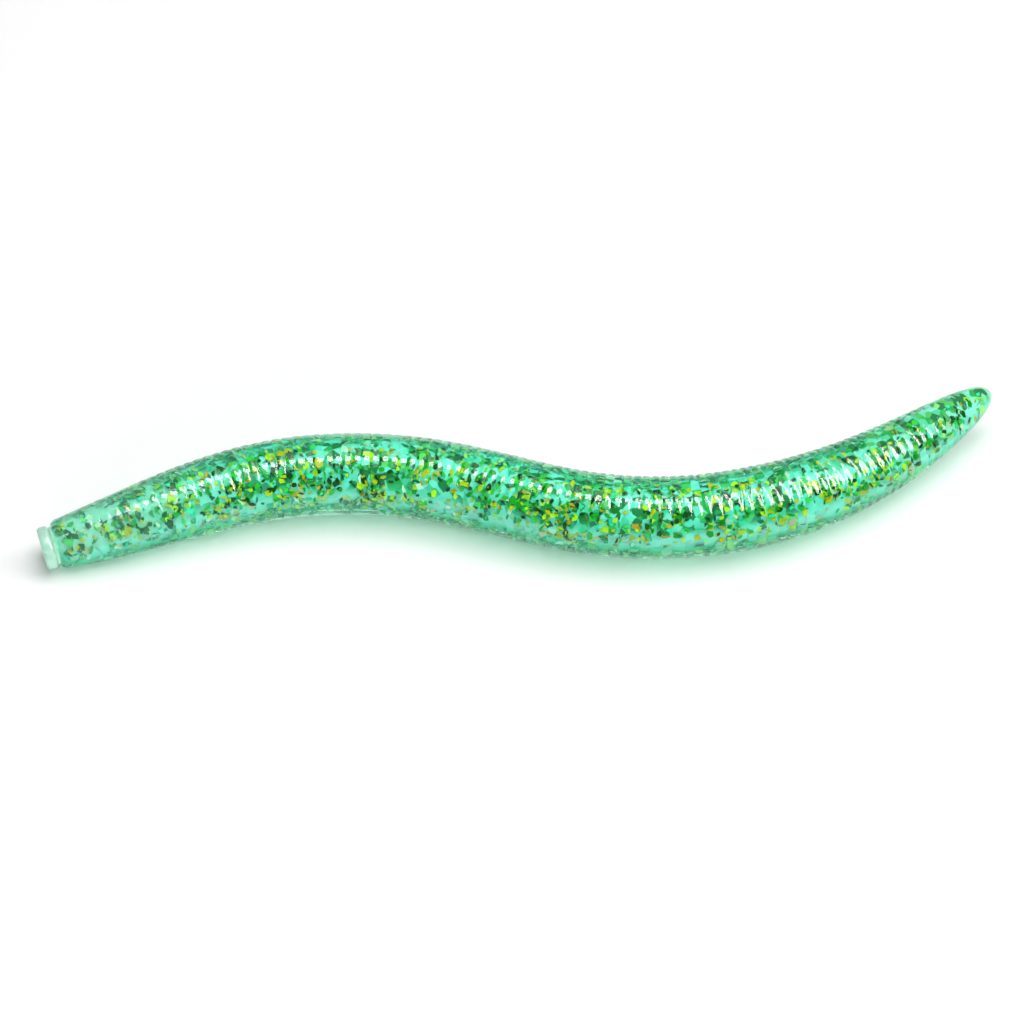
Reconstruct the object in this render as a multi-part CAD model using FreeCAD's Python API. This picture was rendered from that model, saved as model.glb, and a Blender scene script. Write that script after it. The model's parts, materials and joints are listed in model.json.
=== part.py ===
import FreeCAD, Part
import math
import os

# ---------------------------------------------------------------- driving dimensions (mm, degrees)
LENGTH = 127.0              # along the centreline, collar end face to tail tip: a 5 inch stick worm
BODY_RADIUS = 5.1           # crest of a ring at the thickest part
SHOULDER_RADIUS = 3.0       # where the body starts, just behind the neck
COLLAR_RADIUS = 2.7
COLLAR_THICKNESS = 1.4
COLLAR_ROUND = 0.45         # rounding of the collar's rim
NECK_RADIUS = 2.45
NECK_END = 1.7              # along the centreline, where the neck meets the body
SHOULDER_ROUND = 0.6        # length over which the body's front edge is rounded
SHOULDER_STEPS = ((0.25, 0.5), (0.6, 0.14))     # shares of that length and of the step in radius

HEAD_TAPER_END = 44.0       # the head end reaches full radius here
HEAD_TAPER_POWER = 2.7
TAIL_TAPER_START = 90.0     # the tail starts to thin here
TAIL_TAPER_POWER = 1.4
TAIL_ROUND_POWER = 0.41

RING_PITCH = 1.18
RING_DEPTH = 0.15
RING_LAND = 0.22            # share of the pitch between a groove and the ring's land
RING_START = 4.2
RING_END = 123.6
RING_FADE = 9.0             # the rings fade out over this length at both ends
TIP_STEPS = (0.3, 0.55, 0.75, 0.88, 0.96, 0.99)     # circles between the last ring and the tip

# The centreline seen from above: the heading at the head, then (arc length, change of heading)
START_HEADING = 14.9
BENDS = ((8.0, 5.8), (12.0, 2.5), (35.0, -41.7), (9.0, 0.0),
         (30.0, 39.9), (14.0, 15.3), (12.0, 6.0), (7.0, 0.0))

SECTIONS = 13
FIRST_HINGE = 10.3
HINGE_SPACING = 9.68
HINGES = SECTIONS - 1
LIFT_HINGES = (1, 4, 7, 10)         # these bend up and down, the others from side to side
SIDE_RANGE = 25.0
LIFT_RANGE = 25.0
KNUCKLE_INSET = 0.35                # the knuckle's radius is this much less than the body's
KNUCKLE_GAP = 0.12                  # running clearance between a knuckle and its socket
RELIEF_MARGIN = 1.5                 # degrees that the V reliefs open beyond half the hinge's range
TOOL_MARGIN = 1.0                   # how far a cutting tool passes the body's surface

FLAKE_STEP = 0.25                   # along the body, from one flake to the next
FLAKE_THICKNESS = 0.1
FLAKE_SHAPES = {"green": (6, 0.5), "gold": (4, 0.48), "pearl": (6, 0.42)}   # corners, radius
FLAKE_RUN = ("green", "gold", "green", "pearl", "green", "gold")            # repeated order
GOLDEN_ANGLE = 137.508              # round the body, from one flake to the next
FLAKE_COVER = 1.05                  # from a flake's centre to the surface at the least
FLAKE_DEPTHS = (1.0, 0.82, 0.66, 0.92, 0.74)    # repeated shares of the radius inside that cover
FLAKE_TILT = 61.0
FLAKE_TURN = 47.0
FLAKE_FROM_SOCKET = 1.6             # clear length between a socket's bottom and the first flake
FLAKE_PAST_HINGE = 0.2              # share of the knuckle's radius that flakes reach past a hinge
HEAD_FLAKE_START = 4.0
TAIL_FLAKE_END = 123.6

UP = FreeCAD.Vector(0, 0, 1)


# ---------------------------------------------------------------- the centreline and its radius
def plan_point(s):
    """The centreline seen from above, and its heading in radians, at arc length s."""
    x = y = 0.0
    heading = math.radians(START_HEADING)
    for length, change in BENDS:
        run = min(s, length)
        turn = math.radians(change) * run / length
        chord = run if abs(turn) < 1e-9 else run * math.sin(turn / 2) / (turn / 2)
        x += chord * math.cos(heading + turn / 2)
        y += chord * math.sin(heading + turn / 2)
        heading += turn
        s -= run
        if s <= 0:
            break
    return x, y, heading


def axis_height(s):
    """The head end lies on the surface for its whole length, and the thinning tail stays level."""
    return radius(min(s, TAIL_TAPER_START))


def centre(s):
    x, y, _ = plan_point(s)
    return FreeCAD.Vector(x, y, axis_height(s))


def tangent(s):
    step = 0.01
    low, high = max(0.0, s - step), min(LENGTH, s + step)
    return (centre(high) - centre(low)).normalize()


def radius(s):
    """The radius of the rings' crests. Ahead of the body the same line runs on inside the collar."""
    if s < TAIL_TAPER_START:
        left = max(0.0, 1.0 - (s - NECK_END) / (HEAD_TAPER_END - NECK_END))
        return BODY_RADIUS - (BODY_RADIUS - SHOULDER_RADIUS) * left ** HEAD_TAPER_POWER
    gone = min(1.0, (s - TAIL_TAPER_START) / (LENGTH - TAIL_TAPER_START))
    return BODY_RADIUS * (1.0 - gone ** TAIL_TAPER_POWER) ** TAIL_ROUND_POWER


def groove_depth(s):
    fade = min(1.0, (s - RING_START) / RING_FADE, (RING_END - s) / RING_FADE)
    return RING_DEPTH * max(0.0, fade)


def hinge_at(i):
    return FIRST_HINGE + HINGE_SPACING * i


def frame_at(s):
    """The direction along the body, the level direction across it, and the third one, at s."""
    along = tangent(s)
    across = UP.cross(along).normalize()
    return along, across, along.cross(across)


def hinge_axis(i):
    """A positive turn carries the end beyond the hinge towards +Y, or up for a lift hinge."""
    _, across, _ = frame_at(hinge_at(i))
    behind_middle = i >= HINGES // 2
    if i in LIFT_HINGES:
        return -across if behind_middle else across
    return UP if behind_middle else -UP


# ---------------------------------------------------------------- the ribbed body
def circle_at(s, r):
    return Part.Wire(Part.makeCircle(r, centre(s), tangent(s)))


def body_stations():
    """(arc length, radius) of every circle along the body: shoulder, rings, tail."""
    stations = [(NECK_END, NECK_RADIUS)]
    for share, dip in SHOULDER_STEPS:
        s = NECK_END + share * SHOULDER_ROUND
        stations.append((s, radius(s) - dip * (SHOULDER_RADIUS - NECK_RADIUS)))
    stations.append((NECK_END + SHOULDER_ROUND, radius(NECK_END + SHOULDER_ROUND)))
    rings = int((RING_END - RING_START) / RING_PITCH)
    for k in range(rings):
        s = RING_START + k * RING_PITCH
        stations.append((s, radius(s) - groove_depth(s)))
        for land in (RING_LAND, 1.0 - RING_LAND):
            edge = s + land * RING_PITCH
            stations.append((edge, radius(edge)))
    s = stations[-1][0]
    for share in TIP_STEPS:
        tip = s + share * (LENGTH - s)
        stations.append((tip, radius(tip)))
    return stations


def whole_body():
    rings = [circle_at(s, r) for s, r in body_stations()]
    return Part.makeLoft(rings + [Part.Vertex(centre(LENGTH))], True, True)


# ---------------------------------------------------------------- hinges
def kerf(i):
    """The gap between two sections: a curved slot around a knuckle, with a V relief each side."""
    s = hinge_at(i)
    middle = centre(s)
    along, across, upward = frame_at(s)
    if i in LIFT_HINGES:
        side, axis, half_range = upward, across, LIFT_RANGE / 2
    else:
        axis, half_range = UP, SIDE_RANGE / 2
        along = FreeCAD.Vector(along.x, along.y, 0).normalize()
        side = across
    relief = math.radians(half_range + RELIEF_MARGIN)
    knuckle = radius(s) - KNUCKLE_INSET
    socket = knuckle + KNUCKLE_GAP
    far = radius(s) + TOOL_MARGIN

    def at(r, angle):
        return middle + along * (r * math.sin(angle)) + side * (r * math.cos(angle))

    def line(a, b):
        return Part.LineSegment(a, b).toShape()

    def arc(r, a, b):
        return Part.Arc(at(r, a), at(r, (a + b) / 2), at(r, b)).toShape()

    turn = math.pi
    edges = [
        line(at(far, -relief), at(far, relief)),
        line(at(far, relief), at(socket, relief)),
        arc(socket, relief, turn - relief),
        line(at(socket, turn - relief), at(far, turn - relief)),
        line(at(far, turn - relief), at(far, turn + relief)),
        line(at(far, turn + relief), at(knuckle, turn + relief)),
        arc(knuckle, turn + relief, -relief),
        line(at(knuckle, -relief), at(far, -relief)),
    ]
    face = Part.Face(Part.Wire(edges))
    face.translate(axis * -far)
    return face.extrude(axis * (2 * far))


def sections():
    """The body cut at every hinge, head to tail."""
    cut = whole_body().cut([kerf(i) for i in range(HINGES)])
    return sorted(cut.Solids, key=lambda solid: solid.CenterOfMass.x)


# ---------------------------------------------------------------- head collar
def head_face():
    """The middle of the collar's end face and the direction into the worm, square to its body."""
    direction = tangent(NECK_END)
    return centre(NECK_END) - direction * NECK_END, direction


def head_collar():
    """A rounded disc on a short neck that ends in the body's flat front."""
    start, direction = head_face()
    disc = Part.makeCylinder(COLLAR_RADIUS, COLLAR_THICKNESS, start, direction)
    disc = disc.makeFillet(COLLAR_ROUND, [e for e in disc.Edges if e.Closed])
    neck = Part.makeCylinder(NECK_RADIUS, NECK_END, start, direction)
    return disc.fuse(neck).removeSplitter().Solids[0]


# ---------------------------------------------------------------- glitter flakes
def flake(k, s):
    """The k-th flake of a section, at arc length s: a thin polygon of film, lying its own way."""
    corners, size = FLAKE_SHAPES[FLAKE_RUN[k % len(FLAKE_RUN)]]
    along, across, upward = frame_at(s)
    round_axis = math.radians(k * GOLDEN_ANGLE)
    outward = across * math.cos(round_axis) + upward * math.sin(round_axis)
    depth = FLAKE_DEPTHS[k % len(FLAKE_DEPTHS)]
    spot = centre(s) + outward * (depth * (radius(s) - FLAKE_COVER))
    points = [
        FreeCAD.Vector(size * math.cos(2 * math.pi * c / corners),
                       size * math.sin(2 * math.pi * c / corners), -FLAKE_THICKNESS / 2)
        for c in range(corners + 1)
    ]
    plate = Part.Face(Part.makePolygon(points)).extrude(UP * FLAKE_THICKNESS)
    lie = FreeCAD.Rotation(UP, outward)
    spin = FreeCAD.Rotation(UP, k * FLAKE_TURN)
    tilt = FreeCAD.Rotation(FreeCAD.Vector(1, 0, 0), FLAKE_TILT * math.sin(k * GOLDEN_ANGLE))
    plate.Placement = FreeCAD.Placement(spot, lie.multiply(spin).multiply(tilt))
    return plate


def flake_span(i):
    """The stretch of section i that holds flakes, clear of its socket and of its knuckle's end."""
    start, end = HEAD_FLAKE_START, TAIL_FLAKE_END
    if i > 0:
        s = hinge_at(i - 1)
        start = s + radius(s) - KNUCKLE_INSET + KNUCKLE_GAP + FLAKE_FROM_SOCKET
    if i < HINGES:
        s = hinge_at(i)
        end = s + FLAKE_PAST_HINGE * (radius(s) - KNUCKLE_INSET)
    return start, end


def section_flakes(i):
    """The flakes of section i by colour, on a spiral round the centreline."""
    start, end = flake_span(i)
    groups = {colour: [] for colour in FLAKE_SHAPES}
    for k in range(int((end - start) / FLAKE_STEP) + 1):
        groups[FLAKE_RUN[k % len(FLAKE_RUN)]].append(flake(k, start + k * FLAKE_STEP))
    return groups


# ---------------------------------------------------------------- names, placing and export
def place_names():
    """Each section's place along the body, head to tail."""
    half = HINGES // 2 - 1
    front = [f"front_{n}" for n in range(1, half + 1)]
    rear = [f"rear_{n}" for n in range(1, half + 1)]
    return ["head"] + front + ["middle"] + rear + ["tail"]


def nodes():
    """Every node's shape, with the origin still at the head end of the centreline."""
    shapes = {"head_collar": head_collar()}
    for i, (place, body) in enumerate(zip(place_names(), sections())):
        groups = section_flakes(i)
        shapes[f"{place}_section"] = body.cut([f for group in groups.values() for f in group])
        for colour, group in groups.items():
            shapes[f"{colour}_flakes_{place}"] = Part.makeCompound(group)
    return shapes


def origin_shift():
    """From the centreline's own start to an origin below the middle of the whole worm."""
    box = Part.makeCompound([whole_body(), head_collar()]).optimalBoundingBox(False)
    return FreeCAD.Vector(-box.Center.x, -box.Center.y, -box.ZMin)


def main():
    os.makedirs("parts", exist_ok=True)
    shift = origin_shift()
    for name, shape in nodes().items():
        shape.translate(shift)
        shape.exportStep(f"parts/{name}.step")


if __name__ == "__main__":
    main()
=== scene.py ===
import json
import math
import random

import bmesh
import bpy
import numpy as np
from mathutils import Matrix, Vector, noise


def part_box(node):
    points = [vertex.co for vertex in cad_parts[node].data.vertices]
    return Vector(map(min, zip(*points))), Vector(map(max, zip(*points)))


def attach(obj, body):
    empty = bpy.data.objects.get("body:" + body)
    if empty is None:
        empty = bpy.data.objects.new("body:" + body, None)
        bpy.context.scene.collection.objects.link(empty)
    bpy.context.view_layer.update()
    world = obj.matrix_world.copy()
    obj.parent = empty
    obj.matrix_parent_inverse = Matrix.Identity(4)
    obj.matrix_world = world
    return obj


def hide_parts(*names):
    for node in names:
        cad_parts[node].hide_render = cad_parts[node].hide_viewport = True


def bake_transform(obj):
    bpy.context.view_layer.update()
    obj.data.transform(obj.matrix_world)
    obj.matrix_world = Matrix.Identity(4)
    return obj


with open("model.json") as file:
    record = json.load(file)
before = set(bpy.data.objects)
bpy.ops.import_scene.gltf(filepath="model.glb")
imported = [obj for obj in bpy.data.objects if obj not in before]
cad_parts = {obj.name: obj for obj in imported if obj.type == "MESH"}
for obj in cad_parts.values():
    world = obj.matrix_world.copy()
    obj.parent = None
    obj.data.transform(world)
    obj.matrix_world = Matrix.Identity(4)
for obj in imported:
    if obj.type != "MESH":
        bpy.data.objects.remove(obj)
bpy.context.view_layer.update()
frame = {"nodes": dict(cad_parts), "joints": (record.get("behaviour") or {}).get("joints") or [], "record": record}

MM = 0.001
UP = Vector((0, 0, 1))

# ------------------------------------------------------------------ the worm's dimensions (metres)
LENGTH = 127.0 * MM
BODY_RADIUS = 5.1 * MM
SHOULDER_RADIUS = 3.0 * MM
COLLAR_RADIUS = 2.7 * MM
COLLAR_THICKNESS = 1.4 * MM
COLLAR_ROUND = 0.45 * MM
NECK_RADIUS = 2.45 * MM
NECK_END = 1.7 * MM
SHOULDER_ROUND = 1.3 * MM
HEAD_TAPER_END = 44.0 * MM
HEAD_TAPER_POWER = 2.7
TAIL_TAPER_START = 90.0 * MM
TAIL_TAPER_POWER = 1.4
TAIL_ROUND_POWER = 0.41
FIRST_HINGE = 10.3 * MM
HINGE_SPACING = 9.68 * MM

RING_PITCH = 1.18 * MM
RING_START = 4.2 * MM
# (arc length, groove depth) in mm: shallow rings at the head, deepest ahead of the tail
RING_DEPTHS = ((4, 0.0), (8, 0.04), (14, 0.08), (28, 0.09), (44, 0.08), (52, 0.05), (60, 0.06), (70, 0.11),
               (78, 0.14), (94, 0.14), (112, 0.12), (124, 0.0))
RING_SPREAD = 0.3           # each ring's depth varies by this share
RING_LOSS_BELOW = 0.55      # share of their depth that the rings lose underneath
WAVE_HEIGHT = 0.02 * MM     # slow unevenness of the soft surface
WAVE_SCALE = 260.0          # per metre along the body
WAVE_SCALE_ROUND = 1.5      # round the body
WAVE_FADE = 10 * MM         # it fades out over this length at the tail

AROUND = 72                 # faces round the skin
RING_STEPS = 6              # faces along one ring
CORE_AROUND = 36
CORE_STEPS = 12
# (arc length in mm, share of the body's radius) of the milky core, with the flakes in a layer round it
CORE_SHARES = ((1.7, 0.72), (12, 0.66), (30, 0.63), (100, 0.63), (118, 0.64), (127, 0.67))
CORE_ROUND = 2.5 * MM       # length of its rounded front
CORE_FRONT = 0.35           # share of its radius at that front
# height of the flakes over the core, as shares of the body's radius: the deepest and the shallowest
FLAKE_LAYER = (0.006, 0.048)
FLAKE_TRIES = 130           # per mm of body, before the thin places are left out
FLAKE_HALF_THICKNESS = 0.02 * MM
FLAKE_SIZE = (0.2, 0.68, 0.34)          # least, most and commonest radius in mm
FLAKE_GROWTH = ((2, 1.25), (30, 1.0))   # (arc length in mm, size multiplier)
FLAKE_LEAN = 0.45                       # spread of the two leans, radians
FLAKE_CORNERS = (4, 4, 5, 5, 6)         # picked from evenly
FLAKE_STRETCH = (0.45, 1.0)             # width as a share of length
CORNER_SHIFT = 0.2                      # a corner's shift, as a share of the angle between corners
CORNER_REACH = (0.7, 1.2)               # a corner's distance from the middle, as a share of the radius
SHADES = (0.8, 1.3)                     # multiplier of a flake's colour
# how far a flake's colour fades into the milk for lying deep, behind or below, and at the head
FADE_DEEP = 0.38
FADE_BEHIND = 0.5
FADE_HEAD = 0.22
# the lowest flakes take a paler mix, a painted reflection of the floor
PAINTED_UNDERLIGHT_SHARE = 0.7                       # share of the lowest flakes that take the paler mix
# the glitter drifts into clouds: their scale, the mean crowding and its swing
CLOUD_SCALE = 260.0         # per metre along the body
CLOUD_SCALE_ROUND = 1.3     # round the body
CLOUD_MEAN = 0.66
CLOUD_SWING = 1.1
THINNEST = 0.06             # crowding between the clouds
THINNEST_GAIN_HEAD = 0.34   # added to that at the head
# (arc length in mm, crowding multiplier)
CROWDING = ((2, 1.2), (16, 0.95), (45, 0.9), (70, 1.0), (98, 1.0), (127, 0.7))

HEAD_ZONE_END = 6.5 * MM    # the outer two zones end at the grooves nearest to these
TAIL_ZONE_START = 121.5 * MM
SHOULDER_ROWS = 8           # rows of faces over the rounded front
TIP_LENGTH = 3.0 * MM       # the skin's rows crowd together over this length
TIP_ROWS = 18
SKIN_TIP_CAP = 0.01 * MM    # how far the last point stands out
CORE_TIP_CAP = 0.5 * MM
# length left free at the head and at the tail
CORE_MARGINS = (0.3 * MM, 1.2 * MM)
FLAKE_MARGINS = (0.9 * MM, 1.6 * MM)

# the collar's rim: depths are shares of its radius, and angles are in radians
COLLAR_ROUND_STEPS = 8
LOBES = 3
LOBE_DEPTH = 0.02
LOBE_TURN = 0.6
NOTCH_ANGLE = 2.74
NOTCH_WIDTH = 0.17
NOTCH_DEPTH = 0.12
NOTCH_SLOPE = 0.25          # how far its front face is pressed in, as a share of the thickness behind it
RIM_POWER = 4               # how fast dents and notch fade inwards
NECK_REACH = 0.4 * MM       # how far the neck runs on inside the body
NECK_FLARE = 0.05 * MM
NECK_TAPER = 0.15 * MM
SEED = 7

bodies = frame["record"]["behaviour"]["bodies"]
places = sorted(bodies, key=lambda body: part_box(f"{body}_section")[0].x)
joints = frame["joints"]
mounts = {m["name"]: m for m in frame["record"]["mounts"]}
rng = random.Random(SEED)


# ------------------------------------------------------------------ centreline
def spline(knots, values):
    """A natural cubic spline through the values, as a function of the knots' measure."""
    x, y = np.array(knots), np.array(values)
    n = len(x)
    h = np.diff(x)
    a = np.zeros((n, n))
    b = np.zeros((n, y.shape[1]))
    a[0, 0] = a[-1, -1] = 1.0
    for i in range(1, n - 1):
        a[i, i - 1], a[i, i], a[i, i + 1] = h[i - 1], 2 * (h[i - 1] + h[i]), h[i]
        b[i] = 6 * ((y[i + 1] - y[i]) / h[i] - (y[i] - y[i - 1]) / h[i - 1])
    m = np.linalg.solve(a, b)

    def at(s):
        i = int(np.clip(np.searchsorted(x, s) - 1, 0, n - 2))
        p, q = x[i + 1] - s, s - x[i]
        curve = (m[i] * p ** 3 + m[i + 1] * q ** 3) / (6 * h[i])
        return curve + (y[i] / h[i] - m[i] * h[i] / 6) * p + (y[i + 1] / h[i] - m[i + 1] * h[i] / 6) * q

    return at


hinges = [FIRST_HINGE + HINGE_SPACING * i for i in range(len(joints))]
hinge_points = sorted((tuple(j["pos_m"]) for j in joints), key=lambda p: p[0])
face_point = Vector(mounts["head_face"]["pos_m"])
face_inward = -Vector(mounts["head_face"]["axis"]).normalized()
last_hinge = Vector(hinge_points[-1])
tip_point = max((v.co for v in frame["nodes"]["tail_section"].data.vertices),
                key=lambda co: (co - last_hinge).length)
line = spline([0.0, NECK_END] + hinges + [LENGTH],
              [tuple(face_point), tuple(face_point + face_inward * NECK_END)]
              + hinge_points + [tuple(tip_point)])


def centre(s):
    return Vector(line(s))


def axes_at(s):
    """The direction along the body, the level direction across it, and the third one, at s."""
    step = 0.05 * MM
    low, high = max(0.0, s - step), min(LENGTH, s + step)
    along = (centre(high) - centre(low)).normalized()
    across = UP.cross(along).normalized()
    return along, across, along.cross(across)


def radius(s):
    """The radius of the rings' crests."""
    if s < TAIL_TAPER_START:
        left = max(0.0, 1.0 - (s - NECK_END) / (HEAD_TAPER_END - NECK_END))
        return BODY_RADIUS - (BODY_RADIUS - SHOULDER_RADIUS) * left ** HEAD_TAPER_POWER
    gone = min(1.0, (s - TAIL_TAPER_START) / (LENGTH - TAIL_TAPER_START))
    return BODY_RADIUS * (1.0 - gone ** TAIL_TAPER_POWER) ** TAIL_ROUND_POWER


def from_table(table, s):
    return float(np.interp(s / MM, *zip(*table)))


def smooth(low, high, value):
    """0 at low, 1 at high and an even rise between them; low may be the greater of the two."""
    t = min(1.0, max(0.0, (value - low) / (high - low)))
    return t * t * (3.0 - 2.0 * t)


ring_shares = [1.0 + rng.uniform(-RING_SPREAD, RING_SPREAD) for _ in range(int(LENGTH / RING_PITCH) + 1)]


def skin_radius(s, angle):
    """The body's radius with its rings, each a low arch between two grooves and shallower underneath."""
    if s < NECK_END + SHOULDER_ROUND:
        t = max(0.0, (s - NECK_END) / SHOULDER_ROUND)
        full = radius(NECK_END + SHOULDER_ROUND)
        return NECK_RADIUS + (full - NECK_RADIUS) * math.sqrt(max(0.0, 1 - (1 - t) ** 2))
    turns = (s - RING_START) / RING_PITCH
    arch = (2.0 * (turns % 1.0) - 1.0) ** 2
    depth = from_table(RING_DEPTHS, s) * MM * (ring_shares[int(turns)] if turns > 0 else 1.0)
    depth *= 1.0 - RING_LOSS_BELOW * smooth(0.0, -0.6, math.sin(angle))
    spot = Vector((s * WAVE_SCALE, WAVE_SCALE_ROUND * math.cos(angle), WAVE_SCALE_ROUND * math.sin(angle)))
    wave = WAVE_HEIGHT * (noise.noise(spot) - 1.0) * min(1.0, (LENGTH - s) / WAVE_FADE)
    return radius(s) - depth * arch + wave


# ------------------------------------------------------------------ mesh helpers
def new_object(name, bm, rounded=True):
    mesh = bpy.data.meshes.new(name)
    bm.to_mesh(mesh)
    bm.free()
    for p in mesh.polygons:
        p.use_smooth = rounded
    obj = bpy.data.objects.new(name, mesh)
    bpy.context.scene.collection.objects.link(obj)
    return obj


def skin_over(bm, rows):
    """Faces between neighbouring rows of vertices; a row of one vertex closes an end."""
    for one, other in zip(rows, rows[1:]):
        around = max(len(one), len(other))
        for k in range(around):
            n = (k + 1) % around
            if len(one) == 1:
                bm.faces.new((one[0], other[n], other[k]))
            elif len(other) == 1:
                bm.faces.new((one[k], one[n], other[0]))
            else:
                bm.faces.new((one[k], one[n], other[n], other[k]))
    bmesh.ops.recalc_face_normals(bm, faces=bm.faces)


def tube(name, stations, around, radius_of, start_cap=None, end_cap=None, tint_of=None):
    """A skin of rings of vertices along the centreline. A cap is how far its middle point stands out."""
    bm = bmesh.new()
    tints = {}
    rows = []
    for s in stations:
        _, across, upward = axes_at(s)
        middle = centre(s)
        row = []
        for k in range(around):
            a = 2 * math.pi * k / around
            outward = across * math.cos(a) + upward * math.sin(a)
            row.append(bm.verts.new(middle + outward * radius_of(s, a)))
            if tint_of:
                tints[row[-1]] = tint_of(s, a)
        rows.append(row)
    for cap, s, side in ((start_cap, stations[0], 0), (end_cap, stations[-1], 1)):
        if cap is not None:
            point = bm.verts.new(centre(s) + axes_at(s)[0] * (cap if side else -cap))
            if tint_of:
                tints[point] = tint_of(s, 0.0)
            rows.insert(len(rows) if side else 0, [point])
    skin_over(bm, rows)
    if tint_of:
        layer = bm.loops.layers.float_color.new("tint")
        for face in bm.faces:
            for loop in face.loops:
                loop[layer] = tints[loop.vert]
    return new_object(name, bm)


# ------------------------------------------------------------------ materials
def material(name):
    mat = bpy.data.materials.new(name)
    mat.use_nodes = True
    nt = mat.node_tree
    return mat, nt, nt.nodes["Principled BSDF"]


def noise_node(nt, scale, detail=2.0):
    coords = nt.nodes.new("ShaderNodeTexCoord")
    node = nt.nodes.new("ShaderNodeTexNoise")
    node.inputs["Scale"].default_value = scale
    node.inputs["Detail"].default_value = detail
    nt.links.new(coords.outputs["Object"], node.inputs["Vector"])
    return node.outputs["Fac"]


def ramp(nt, source, stops, interpolation="LINEAR"):
    node = nt.nodes.new("ShaderNodeValToRGB")
    node.color_ramp.interpolation = interpolation
    elements = node.color_ramp.elements
    while len(elements) < len(stops):
        elements.new(0.5)
    for element, (at, colour) in zip(elements, stops):
        element.position = at
        element.color = (*colour, 1.0)
    nt.links.new(source, node.inputs["Fac"])
    return node.outputs["Color"]


def bump(nt, source, strength, distance):
    node = nt.nodes.new("ShaderNodeBump")
    node.inputs["Strength"].default_value = strength
    node.inputs["Distance"].default_value = distance
    nt.links.new(source, node.inputs["Height"])
    return node.outputs["Normal"]


def times(nt, one, other):
    node = nt.nodes.new("ShaderNodeMix")
    node.data_type = "RGBA"
    node.blend_type = "MULTIPLY"
    node.inputs["Factor"].default_value = 1.0
    nt.links.new(one, node.inputs["A"])
    nt.links.new(other, node.inputs["B"])
    return node.outputs["Result"]


def skin_material():
    """Clear soft plastisol with a mint cast. Lamps shine through it to the flakes."""
    mat, nt, p = material("clear_plastisol_skin")
    tone = ramp(nt, noise_node(nt, 900.0), [(0.3, (0.28, 0.75, 0.50)), (0.7, (0.36, 0.80, 0.58))])
    nt.links.new(tone, p.inputs["Base Color"])
    p.inputs["Transmission Weight"].default_value = 1.0
    p.inputs["IOR"].default_value = 1.37
    p.inputs["Roughness"].default_value = 0.05
    p.inputs["Sheen Weight"].default_value = 0.12
    p.inputs["Sheen Roughness"].default_value = 0.35
    p.inputs["Sheen Tint"].default_value = (0.25, 0.80, 0.50, 1.0)
    fine = bump(nt, noise_node(nt, 1500.0, 3.0), 0.02, 0.05 * MM)
    nt.links.new(fine, p.inputs["Normal"])
    out = nt.nodes["Material Output"]
    clear = nt.nodes.new("ShaderNodeBsdfTransparent")
    clear.inputs["Color"].default_value = (0.64, 0.66, 0.65, 1.0)
    path = nt.nodes.new("ShaderNodeLightPath")
    mix = nt.nodes.new("ShaderNodeMixShader")
    nt.links.new(path.outputs["Is Shadow Ray"], mix.inputs["Fac"])
    nt.links.new(p.outputs[0], mix.inputs[1])
    nt.links.new(clear.outputs[0], mix.inputs[2])
    nt.links.new(mix.outputs[0], out.inputs["Surface"])
    return mat


def stored_tint(nt):
    node = nt.nodes.new("ShaderNodeVertexColor")
    node.layer_name = "tint"
    return node


def core_material():
    """Milky plastisol. Angular patches of deeper glitter show through as far as the tint's alpha says."""
    mat, nt, p = material("milky_mint_core")
    tint = stored_tint(nt)
    coords = nt.nodes.new("ShaderNodeTexCoord")
    cells = nt.nodes.new("ShaderNodeTexVoronoi")
    cells.inputs["Scale"].default_value = 1050.0
    nt.links.new(coords.outputs["Object"], cells.inputs["Vector"])
    split = nt.nodes.new("ShaderNodeSeparateColor")
    nt.links.new(cells.outputs["Color"], split.inputs["Color"])
    deep = ramp(nt, split.outputs[0], DEEP_PATCHES, "CONSTANT")
    mix = nt.nodes.new("ShaderNodeMix")
    mix.data_type = "RGBA"
    nt.links.new(tint.outputs["Alpha"], mix.inputs["Factor"])
    nt.links.new(tint.outputs["Color"], mix.inputs["A"])
    nt.links.new(times(nt, tint.outputs["Color"], deep), mix.inputs["B"])
    nt.links.new(mix.outputs["Result"], p.inputs["Base Color"])
    p.inputs["Roughness"].default_value = 0.8
    p.inputs["Specular IOR Level"].default_value = 0.0
    return mat


def film_material():
    """Glitter film whose colour is stored on the mesh, with a fine variation of its brightness."""
    mat, nt, p = material("glitter_film")
    tone = ramp(nt, noise_node(nt, 1500.0), [(0.3, (0.8, 0.8, 0.8)), (0.7, (1.0, 1.0, 1.0))])
    nt.links.new(times(nt, stored_tint(nt).outputs["Color"], tone), p.inputs["Base Color"])
    p.inputs["Roughness"].default_value = 0.5
    p.inputs["Specular IOR Level"].default_value = 0.0
    return mat


def collar_material():
    mat, nt, p = material("pale_collar_plastisol")
    tone = ramp(nt, noise_node(nt, 500.0), [(0.3, (0.34, 0.62, 0.48)), (0.7, (0.46, 0.72, 0.60))])
    nt.links.new(tone, p.inputs["Base Color"])
    p.inputs["Roughness"].default_value = 0.22
    p.inputs["Subsurface Weight"].default_value = 0.5
    p.inputs["Subsurface Radius"].default_value = (0.6, 1.0, 0.8)
    p.inputs["Subsurface Scale"].default_value = 0.001
    nt.links.new(bump(nt, noise_node(nt, 1100.0, 3.0), 0.4, 0.06 * MM), p.inputs["Normal"])
    return mat


# (from this random value on, multiplier of the core's tint)
DEEP_PATCHES = [
    (0.0, (0.03, 0.20, 0.02)),
    (0.18, (0.08, 0.52, 0.08)),
    (0.31, (0.50, 0.72, 0.18)),
    (0.39, (0.50, 0.82, 0.64)),
    (0.52, (1.0, 1.0, 1.0)),
    (0.82, (1.4, 1.12, 1.25)),
]

SKIN = skin_material()
CORE = core_material()
FILM = film_material()
COLLAR = collar_material()

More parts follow.
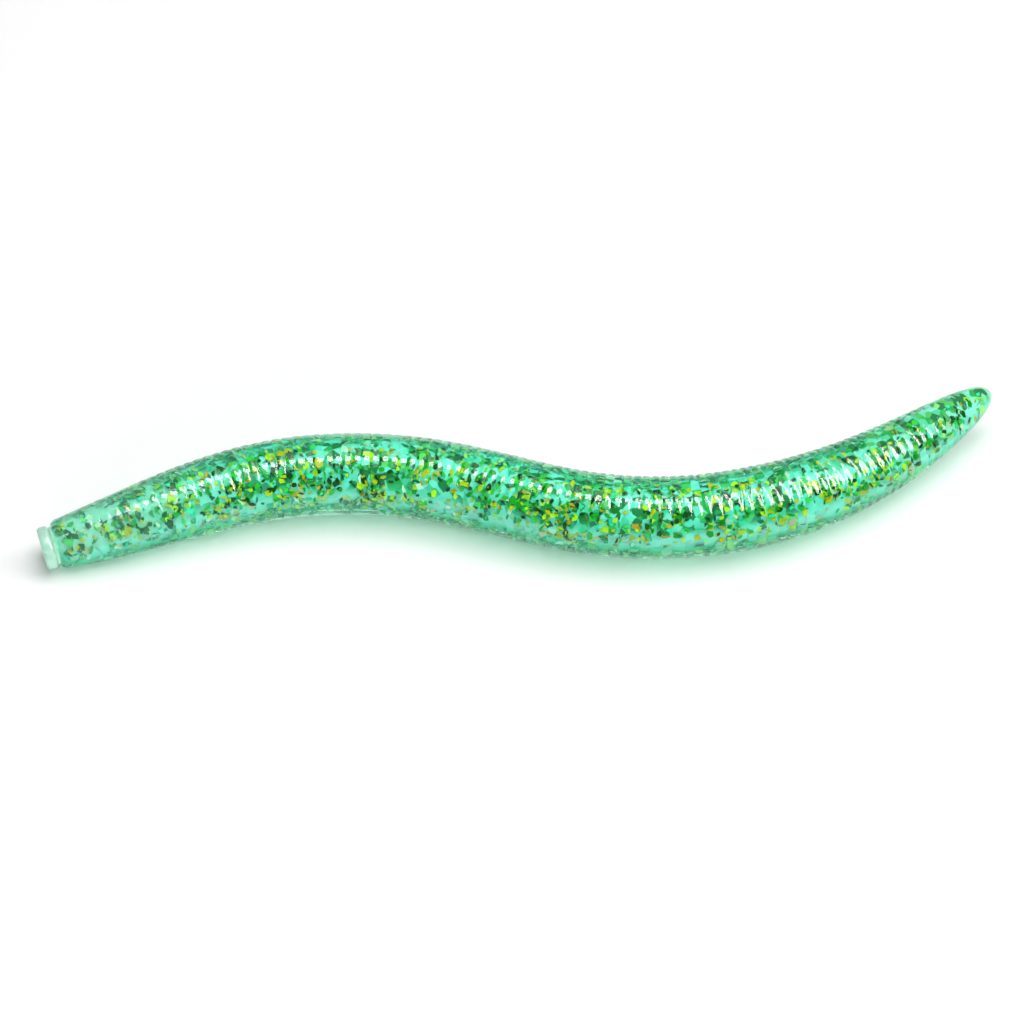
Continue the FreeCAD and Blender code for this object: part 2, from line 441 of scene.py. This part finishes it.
CORE_MINT = (0.22, 0.76, 0.70)
CORE_HEAD = (0.53, 0.72, 0.70)
# pale bluish core colour low on the sides: painted reflection of the floor and painted light focused through the
# clear body
CORE_PAINTED_UNDERLIGHT = (0.48, 0.92, 0.95)
CORE_RIM = (0.20, 0.84, 0.66)
# (share, colour) of the glitter: three greens, lime, gold, amber, pearl and mint
PALETTE = (
    (0.27, (0.002, 0.07, 0.003)),
    (0.20, (0.010, 0.37, 0.02)),
    (0.14, (0.06, 0.60, 0.05)),
    (0.13, (0.80, 0.90, 0.02)),
    (0.12, (1.00, 0.60, 0.002)),
    (0.02, (1.0, 0.40, 0.005)),
    (0.04, (1.0, 0.88, 0.75)),
    (0.08, (0.05, 0.80, 0.55)),
)
# the paler glitter mix low on the sides: painted reflection of the floor
PALETTE_PAINTED_UNDERLIGHT = (
    (0.13, (0.01, 0.36, 0.14)),
    (0.13, (0.05, 0.60, 0.46)),
    (0.12, (0.60, 0.92, 0.12)),
    (0.24, (1.0, 0.74, 0.08)),
    (0.14, (1.0, 0.68, 0.55)),
    (0.24, (0.78, 0.92, 1.0)),
)


# ------------------------------------------------------------------ core and flakes
def core_radius(s):
    t = min(1.0, max(0.0, (s - NECK_END) / CORE_ROUND))
    front = CORE_FRONT + (1.0 - CORE_FRONT) * math.sqrt(1.0 - (1.0 - t) ** 2)
    return radius(s) * from_table(CORE_SHARES, s) * front


def blend_of(one, other, share):
    return [a + (b - a) * share for a, b in zip(one, other)]


def milk(s, angle):
    """The milky colour: mint above and at the sides, paler at both ends; low on the sides, painted floor
    reflection and painted focused light.
    """
    height = math.sin(angle)
    pale = 1.0 - smooth(4 * MM, 30 * MM, s) + 0.5 * smooth(95 * MM, 118 * MM, s)
    colour = blend_of(CORE_MINT, CORE_HEAD, pale)
    # low on the sides: painted reflection of the floor and painted light focused through the body
    colour = blend_of(CORE_PAINTED_UNDERLIGHT, colour, smooth(-0.05, 0.2, height))
    return blend_of(CORE_RIM, colour, smooth(-0.55, -0.35, height))


def core_tint(s, angle):
    """The milky colour, and how far deeper glitter shows through it: most on the flanks' upper part."""
    height = math.sin(angle)
    share = (0.15 + 0.75 * smooth(0.15, 0.45, height)) * smooth(2 * MM, 40 * MM, s)
    return (*milk(s, angle), share)


def behind(angle):
    """0 on the upper front, rising to 1 round the back and below, where the glitter looks milkier."""
    return 1.0 - smooth(0.2, 0.6, math.cos(angle - 0.75 * math.pi))


def crowding(s, angle):
    """How crowded the glitter is at a place, as a chance: clouds, thinner on the ridge and underneath."""
    height = math.sin(angle)
    spot = Vector((s * CLOUD_SCALE, CLOUD_SCALE_ROUND * math.cos(angle), CLOUD_SCALE_ROUND * height))
    cloud = CLOUD_MEAN + CLOUD_SWING * noise.noise(spot)
    thinnest = THINNEST + THINNEST_GAIN_HEAD * (1.0 - smooth(8 * MM, 30 * MM, s))
    level = 0.85 + 0.15 * smooth(0.1, 0.45, height)         # most on the flanks' upper part
    level -= 0.42 * smooth(0.85, 0.96, height)              # along the ridge
    level -= 0.2 * smooth(-0.3, -0.5, height)               # underneath
    return min(1.0, max(thinnest, cloud)) * level * from_table(CROWDING, s)


def pick_tint(s, deep, angle):
    """A glitter colour, fading into the milky colour with depth, behind and below, and at the head."""
    height = math.sin(angle)
    # low on the sides the glitter takes the paler mix, a painted reflection of the floor
    low = 1.0 - smooth(-0.05, 0.2, height)
    pick, total = rng.random(), 0.0
    for weight, colour in PALETTE_PAINTED_UNDERLIGHT if rng.random() < PAINTED_UNDERLIGHT_SHARE * low else PALETTE:
        total += weight
        if pick <= total:
            break
    at_head = 1.0 - smooth(8 * MM, 26 * MM, s)
    fade = deep * deep * rng.uniform(0.0, FADE_DEEP) + FADE_BEHIND * behind(angle) + FADE_HEAD * at_head
    shade = rng.uniform(*SHADES)
    return [min(1.0, c * shade) * (1 - fade) + m * fade for c, m in zip(colour, milk(s, angle))]


def flakes(name, start, end):
    """Thin irregular polygons of film in a layer round the core, lying roughly along it."""
    bm = bmesh.new()
    layer = bm.loops.layers.float_color.new("tint")
    s = start
    while True:
        s += MM / (FLAKE_TRIES * (radius(s) / BODY_RADIUS) ** 1.5)
        if s >= end:
            break
        a = rng.uniform(0, 2 * math.pi)
        deep = rng.random()
        if rng.random() > crowding(s, a):
            continue
        depth = core_radius(s) + radius(s) * (FLAKE_LAYER[1] + (FLAKE_LAYER[0] - FLAKE_LAYER[1]) * deep)
        along, across, upward = axes_at(s)
        outward = across * math.cos(a) + upward * math.sin(a)
        spot = centre(s) + outward * depth
        lean = Matrix.Rotation(rng.gauss(0, FLAKE_LEAN), 3, along)
        lean = lean @ Matrix.Rotation(rng.gauss(0, FLAKE_LEAN), 3, outward.cross(along))
        normal = (lean @ outward).normalized()
        u = Matrix.Rotation(rng.uniform(0, 2 * math.pi), 3, normal) @ normal.orthogonal().normalized()
        v = normal.cross(u)
        size = rng.triangular(*FLAKE_SIZE) * MM * from_table(FLAKE_GROWTH, s)
        corners = rng.choice(FLAKE_CORNERS)
        stretch = rng.uniform(*FLAKE_STRETCH)
        tint = (*pick_tint(s, deep, a), 1.0)
        half = normal * FLAKE_HALF_THICKNESS
        outline = []
        for k in range(corners):
            q = 2 * math.pi * (k + rng.uniform(-CORNER_SHIFT, CORNER_SHIFT)) / corners
            reach = size * rng.uniform(*CORNER_REACH)
            outline.append((u * math.cos(q) + v * (stretch * math.sin(q))) * reach)
        top = [bm.verts.new(spot + p + half) for p in outline]
        bottom = [bm.verts.new(spot + p - half) for p in outline]
        faces = [bm.faces.new(top), bm.faces.new(bottom[::-1])]
        for k in range(corners):
            n = (k + 1) % corners
            faces.append(bm.faces.new((bottom[k], bottom[n], top[n], top[k])))
        for face in faces:
            for loop in face.loops:
                loop[layer] = tint
    return new_object(name, bm, rounded=False)


# ------------------------------------------------------------------ the body, in zones between mid-sections
def groove_near(s):
    return RING_START + round((s - RING_START) / RING_PITCH) * RING_PITCH


middles = [(a + b) / 2 for a, b in zip(hinges, hinges[1:])]
zone_ends = [groove_near(s) for s in [HEAD_ZONE_END] + middles + [TAIL_ZONE_START]]
zone_ends = [NECK_END] + zone_ends + [LENGTH]
zone_bodies = [("head",)] + list(zip(places, places[1:])) + [("tail",)]


def evenly(a, b, count):
    """Steps from a to b. The last is b itself, so that neighbouring zones share one row of points."""
    return [a + (b - a) * k / count for k in range(count)] + [b]


def skin_stations(a, b):
    return evenly(a, b, max(1, round((b - a) / RING_PITCH * RING_STEPS)))


for z, (a, b, held_by) in enumerate(zip(zone_ends, zone_ends[1:], zone_bodies)):
    first, final = z == 0, z == len(zone_bodies) - 1
    name = "_to_".join(held_by)
    stations = skin_stations(a, b)
    if first:
        shoulder = NECK_END + SHOULDER_ROUND
        stations = evenly(NECK_END, shoulder, SHOULDER_ROWS)[:-1] + skin_stations(shoulder, b)
    if final:
        stations = skin_stations(a, LENGTH - TIP_LENGTH)
        tip = stations[-1]
        stations += [tip + (LENGTH - tip) * math.sin(math.pi / 2 * k / TIP_ROWS) for k in range(1, TIP_ROWS)]
    skin = tube(f"skin_{name}", stations, AROUND, skin_radius,
                start_cap=0.0 if first else None, end_cap=SKIN_TIP_CAP if final else None)
    skin.data.materials.append(SKIN)
    core_stations = evenly(a + first * CORE_MARGINS[0], b - final * CORE_MARGINS[1], CORE_STEPS)
    core = tube(f"core_{name}", core_stations, CORE_AROUND, lambda s, _: core_radius(s),
                start_cap=0.0 if first else None, end_cap=CORE_TIP_CAP if final else None,
                tint_of=core_tint)
    core.data.materials.append(CORE)
    film = flakes(f"flakes_{name}", a + first * FLAKE_MARGINS[0], b - final * FLAKE_MARGINS[1])
    film.data.materials.append(FILM)
    for piece in (skin, core, film):
        if len(held_by) == 1:
            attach(piece, held_by[0])
        else:
            tuple(centre(a + RING_PITCH))
            tuple(centre(b - RING_PITCH))
            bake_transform(piece)
    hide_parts(*[f"{place}_section" for place in held_by])
    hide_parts(*[f"{colour}_flakes_{place}"
                        for place in held_by for colour in ("green", "gold", "pearl")])


# ------------------------------------------------------------------ head collar
def quarter(steps):
    return [(math.sin(q), math.cos(q)) for q in (math.pi / 2 * k / steps for k in range(steps + 1))]


def collar():
    """A rounded disc with dents and a notch in its rim, on a short neck that ends inside the body."""
    r, t, e = COLLAR_RADIUS, COLLAR_THICKNESS, COLLAR_ROUND
    profile = [(0.0, 0.0), (0.0, (r - e) * 0.5)]
    profile += [(e - e * c, r - e + e * s) for s, c in quarter(COLLAR_ROUND_STEPS)]
    profile += [(t - e + e * s, r - e + e * c) for s, c in quarter(COLLAR_ROUND_STEPS)]
    inside = NECK_END + NECK_REACH
    profile += [(t + NECK_FLARE, NECK_RADIUS), (inside, NECK_RADIUS - NECK_TAPER), (inside, 0.0)]
    across = UP.cross(face_inward).normalized()
    upward = face_inward.cross(across)
    bm = bmesh.new()
    rows = []
    for x, rr in profile:
        if rr == 0.0:
            rows.append([bm.verts.new(face_point + face_inward * x)])
            continue
        row = []
        for k in range(AROUND):
            q = 2 * math.pi * k / AROUND
            outer = (rr / r) ** RIM_POWER
            notch = outer * math.exp(-((q - NOTCH_ANGLE) / NOTCH_WIDTH) ** 2)
            lobe = LOBE_DEPTH * max(0.0, math.cos(LOBES * q + LOBE_TURN))
            dent = 1.0 - lobe * outer - NOTCH_DEPTH * notch
            row.append(bm.verts.new(face_point + face_inward * (x + max(0.0, t - x) * NOTCH_SLOPE * notch)
                                    + (across * math.cos(q) + upward * math.sin(q)) * (rr * dent)))
        rows.append(row)
    skin_over(bm, rows)
    return new_object("collar", bm)


disc = collar()
disc.data.materials.append(COLLAR)
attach(disc, "head")
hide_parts("head_collar")


# ------------------------------------------------------------------ floor, light, camera
FLOOR_REACH = 3.0           # metres from the middle to an edge


def floor():
    bm = bmesh.new()
    for x, y in ((-1, -1), (1, -1), (1, 1), (-1, 1)):
        bm.verts.new((x * FLOOR_REACH, y * FLOOR_REACH, 0.0))
    bm.faces.new(bm.verts)
    obj = new_object("floor", bm)
    mat, nt, p = material("white_table")
    tone = ramp(nt, noise_node(nt, 3.0), [(0.0, (0.93, 0.93, 0.93)), (1.0, (0.95, 0.95, 0.95))])
    nt.links.new(tone, p.inputs["Base Color"])
    p.inputs["Roughness"].default_value = 0.9
    p.inputs["Specular IOR Level"].default_value = 0.0
    obj.data.materials.append(mat)
    return obj


floor()

# (name, place, size along X and Y, radiance, what it lights)
SOFTBOXES = (
    ("overhead_softbox", (0.0, 0.02, 0.50), (0.24, 0.50), 3.4, "all"),
    ("right_softbox", (0.33, 0.02, 0.45), (0.40, 0.45), 2.6, "all"),
    ("front_fill", (0.0, -0.55, 0.11), (0.80, 0.20), 3.6, "matt"),
    ("overhead_glint", (0.05, 0.0, 0.50), (0.12, 0.27), 24.0, "gloss"),
    ("right_glint", (0.36, -0.13, 0.42), (0.24, 0.40), 27.0, "gloss"),
)
WORLD_STRENGTH = 0.33


def softbox(name, place, size, radiance, lights):
    lamp = bpy.data.lights.new(name, "AREA")
    lamp.shape = "RECTANGLE"
    lamp.size, lamp.size_y = size
    lamp.energy = radiance * math.pi * size[0] * size[1]
    obj = bpy.data.objects.new(name, lamp)
    bpy.context.scene.collection.objects.link(obj)
    obj.location = place
    obj.rotation_euler = Vector(place).to_track_quat("Z", "Y").to_euler()
    obj.visible_camera = False
    if lights == "matt":
        obj.visible_glossy = False
        obj.visible_transmission = False
    if lights == "gloss":
        obj.visible_diffuse = False
        obj.visible_transmission = False


for facts in SOFTBOXES:
    softbox(*facts)

world = bpy.data.worlds.new("studio")
bpy.context.scene.world = world
world.use_nodes = True
world.node_tree.nodes["Background"].inputs["Color"].default_value = (1.0, 1.0, 1.0, 1.0)
world.node_tree.nodes["Background"].inputs["Strength"].default_value = WORLD_STRENGTH

CAMERA_ELEVATION = math.radians(45.0)
CAMERA_DISTANCE = 0.65
FRAME_WIDTH = 127.1 * MM
SENSOR_WIDTH = 36.0
TARGET = Vector((-0.93 * MM, -2.37 * MM, 0.0))

camera = bpy.data.objects.new("camera", bpy.data.cameras.new("camera"))
bpy.context.scene.collection.objects.link(camera)
towards_camera = Vector((0.0, -math.cos(CAMERA_ELEVATION), math.sin(CAMERA_ELEVATION)))
camera.location = TARGET + CAMERA_DISTANCE * towards_camera
camera.rotation_euler = (math.pi / 2 - CAMERA_ELEVATION, 0.0, 0.0)
camera.data.sensor_width = SENSOR_WIDTH
camera.data.lens = SENSOR_WIDTH * CAMERA_DISTANCE / FRAME_WIDTH
camera.data.clip_start = 0.01
bpy.context.scene.camera = camera
bpy.context.scene.view_settings.view_transform = "Standard"
